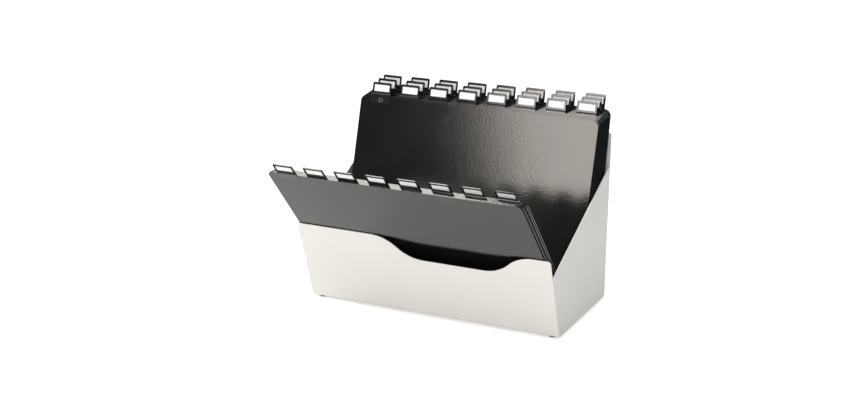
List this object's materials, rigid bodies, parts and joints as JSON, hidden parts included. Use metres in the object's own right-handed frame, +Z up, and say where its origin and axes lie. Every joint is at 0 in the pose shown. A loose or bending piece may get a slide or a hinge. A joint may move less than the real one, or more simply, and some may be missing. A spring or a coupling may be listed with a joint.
{
  "type": "medical chart rack",
  "caption": "Desktop sheet-steel chart rack: an open tray on rubber feet holds a row of thin black chart boards with staggered label tabs, which flip over like index cards or lift out.",
  "frame": {"origin": "centre of the whole rack's box on the ground plane, under the rubber feet", "axes": "+Z up, -Y towards the user and the low front panel, +X to the user's right along the boards"},
  "size_m": [0.35, 0.3006, 0.2715],
  "materials": {
    "steel_paint": "warm white powder coat, satin",
    "board_black": "fine-grained black sheet, semi-gloss",
    "tab_black": "moulded black plastic, glossy",
    "foot_rubber": "matt black rubber",
    "label_card": "blank white card",
    "eyelet_metal": "bright nickel-plated eyelet"
  },
  "bodies": {
    "tray": {"floor_pan": "steel_paint", "front_panel": "steel_paint", "back_panel": "steel_paint", "left_side_panel": "steel_paint", "right_side_panel": "steel_paint", "board_cradle": "steel_paint", "cradle_rail_front": "steel_paint", "cradle_rail_rear": "steel_paint", "foot_front_left": "foot_rubber", "foot_front_right": "foot_rubber", "foot_rear_left": "foot_rubber", "foot_rear_right": "foot_rubber"},
    "board_01": {"chart_board_01": "board_black", "label_tab_01": "tab_black"},
    "board_02": {"chart_board_02": "board_black", "label_tab_02": "tab_black"},
    "board_03": {"chart_board_03": "board_black", "label_tab_03": "tab_black"},
    "board_04": {"chart_board_04": "board_black", "label_tab_04": "tab_black"},
    "board_05": {"chart_board_05": "board_black", "label_tab_05": "tab_black"},
    "board_06": {"chart_board_06": "board_black", "label_tab_06": "tab_black"},
    "board_07": {"chart_board_07": "board_black", "label_tab_07": "tab_black"},
    "board_08": {"chart_board_08": "board_black", "label_tab_08": "tab_black"},
    "board_09": {"chart_board_09": "board_black", "label_tab_09": "tab_black"},
    "board_10": {"chart_board_10": "board_black", "label_tab_10": "tab_black"},
    "board_11": {"chart_board_11": "board_black", "label_tab_11": "tab_black"},
    "board_12": {"chart_board_12": "board_black", "label_tab_12": "tab_black"},
    "board_13": {"chart_board_13": "board_black", "label_tab_13": "tab_black"},
    "board_14": {"chart_board_14": "board_black", "label_tab_14": "tab_black"},
    "board_15": {"chart_board_15": "board_black", "label_tab_15": "tab_black"},
    "board_16": {"chart_board_16": "board_black", "label_tab_16": "tab_black"},
    "board_17": {"chart_board_17": "board_black"},
    "board_18": {"chart_board_18": "board_black"},
    "board_19": {"chart_board_19": "board_black"},
    "board_20": {"chart_board_20": "board_black"},
    "board_21": {"chart_board_21": "board_black"},
    "board_22": {"chart_board_22": "board_black"},
    "board_23": {"chart_board_23": "board_black"},
    "board_24": {"chart_board_24": "board_black"},
    "board_25": {"chart_board_25": "board_black"},
    "board_26": {"chart_board_26": "board_black"},
    "board_27": {"chart_board_27": "board_black"},
    "board_28": {"chart_board_28": "board_black"},
    "board_29": {"chart_board_29": "board_black"},
    "board_30": {"chart_board_30": "board_black"},
    "board_31": {"chart_board_31": "board_black"},
    "board_32": {"chart_board_32": "board_black"}
  },
  "joints": [
    {"name": "flip_01", "type": "hinge", "parent": "tray", "child": "board_01", "pos_m": [-0.0032, 0.01537, 0.023], "axis": [-1, 0, 0], "range_deg": [0, 57]},
    {"name": "flip_02", "type": "hinge", "parent": "tray", "child": "board_02", "pos_m": [-0.0032, 0.01775, 0.023], "axis": [-1, 0, 0], "range_deg": [0, 57]},
    {"name": "flip_03", "type": "hinge", "parent": "tray", "child": "board_03", "pos_m": [-0.0032, 0.02012, 0.023], "axis": [-1, 0, 0], "range_deg": [0, 57]},
    {"name": "flip_04", "type": "hinge", "parent": "tray", "child": "board_04", "pos_m": [-0.0032, 0.02249, 0.023], "axis": [-1, 0, 0], "range_deg": [0, 57]},
    {"name": "flip_05", "type": "hinge", "parent": "tray", "child": "board_05", "pos_m": [-0.0032, 0.02486, 0.023], "axis": [-1, 0, 0], "range_deg": [0, 57]},
    {"name": "flip_06", "type": "hinge", "parent": "tray", "child": "board_06", "pos_m": [-0.0032, 0.02723, 0.023], "axis": [-1, 0, 0], "range_deg": [0, 57]},
    {"name": "flip_07", "type": "hinge", "parent": "tray", "child": "board_07", "pos_m": [-0.0032, 0.0296, 0.023], "axis": [-1, 0, 0], "range_deg": [0, 57]},
    {"name": "flip_08", "type": "hinge", "parent": "tray", "child": "board_08", "pos_m": [-0.0032, 0.03197, 0.023], "axis": [-1, 0, 0], "range_deg": [0, 57]},
    {"name": "lift_09", "type": "slide", "parent": "tray", "child": "board_09", "axis": [0, 0.2829, 0.9592], "range_m": [0, 0.095]},
    {"name": "lift_10", "type": "slide", "parent": "tray", "child": "board_10", "axis": [0, 0.2793, 0.9602], "range_m": [0, 0.095]},
    {"name": "lift_11", "type": "slide", "parent": "tray", "child": "board_11", "axis": [0, 0.2757, 0.9612], "range_m": [0, 0.095]},
    {"name": "lift_12", "type": "slide", "parent": "tray", "child": "board_12", "axis": [0, 0.2721, 0.9623], "range_m": [0, 0.095]},
    {"name": "lift_13", "type": "slide", "parent": "tray", "child": "board_13", "axis": [0, 0.2686, 0.9633], "range_m": [0, 0.095]},
    {"name": "lift_14", "type": "slide", "parent": "tray", "child": "board_14", "axis": [0, 0.265, 0.9643], "range_m": [0, 0.095]},
    {"name": "lift_15", "type": "slide", "parent": "tray", "child": "board_15", "axis": [0, 0.2614, 0.9652], "range_m": [0, 0.095]},
    {"name": "lift_16", "type": "slide", "parent": "tray", "child": "board_16", "axis": [0, 0.2578, 0.9662], "range_m": [0, 0.095]},
    {"name": "lift_17", "type": "slide", "parent": "tray", "child": "board_17", "axis": [0, 0.2542, 0.9672], "range_m": [0, 0.095]},
    {"name": "lift_18", "type": "slide", "parent": "tray", "child": "board_18", "axis": [0, 0.2506, 0.9681], "range_m": [0, 0.095]},
    {"name": "lift_19", "type": "slide", "parent": "tray", "child": "board_19", "axis": [0, 0.247, 0.969], "range_m": [0, 0.095]},
    {"name": "lift_20", "type": "slide", "parent": "tray", "child": "board_20", "axis": [0, 0.2434, 0.9699], "range_m": [0, 0.095]},
    {"name": "lift_21", "type": "slide", "parent": "tray", "child": "board_21", "axis": [0, 0.2397, 0.9708], "range_m": [0, 0.095]},
    {"name": "lift_22", "type": "slide", "parent": "tray", "child": "board_22", "axis": [0, 0.2361, 0.9717], "range_m": [0, 0.095]},
    {"name": "lift_23", "type": "slide", "parent": "tray", "child": "board_23", "axis": [0, 0.2325, 0.9726], "range_m": [0, 0.095]},
    {"name": "lift_24", "type": "slide", "parent": "tray", "child": "board_24", "axis": [0, 0.2289, 0.9735], "range_m": [0, 0.095]},
    {"name": "lift_25", "type": "slide", "parent": "tray", "child": "board_25", "axis": [0, 0.2253, 0.9743], "range_m": [0, 0.095]},
    {"name": "lift_26", "type": "slide", "parent": "tray", "child": "board_26", "axis": [0, 0.2216, 0.9751], "range_m": [0, 0.095]},
    {"name": "lift_27", "type": "slide", "parent": "tray", "child": "board_27", "axis": [0, 0.218, 0.9759], "range_m": [0, 0.095]},
    {"name": "lift_28", "type": "slide", "parent": "tray", "child": "board_28", "axis": [0, 0.2144, 0.9768], "range_m": [0, 0.095]},
    {"name": "lift_29", "type": "slide", "parent": "tray", "child": "board_29", "axis": [0, 0.2107, 0.9775], "range_m": [0, 0.095]},
    {"name": "lift_30", "type": "slide", "parent": "tray", "child": "board_30", "axis": [0, 0.2071, 0.9783], "range_m": [0, 0.095]},
    {"name": "lift_31", "type": "slide", "parent": "tray", "child": "board_31", "axis": [0, 0.2034, 0.9791], "range_m": [0, 0.095]},
    {"name": "lift_32", "type": "slide", "parent": "tray", "child": "board_32", "axis": [0, 0.1998, 0.9798], "range_m": [0, 0.095]}
  ],
  "couplings": [
    {"joint": "flip_02", "follows": "flip_01", "ratio": 1},
    {"joint": "flip_03", "follows": "flip_01", "ratio": 1},
    {"joint": "flip_04", "follows": "flip_01", "ratio": 1},
    {"joint": "flip_05", "follows": "flip_01", "ratio": 1},
    {"joint": "flip_06", "follows": "flip_01", "ratio": 1},
    {"joint": "flip_07", "follows": "flip_01", "ratio": 1},
    {"joint": "flip_08", "follows": "flip_01", "ratio": 1}
  ]
}
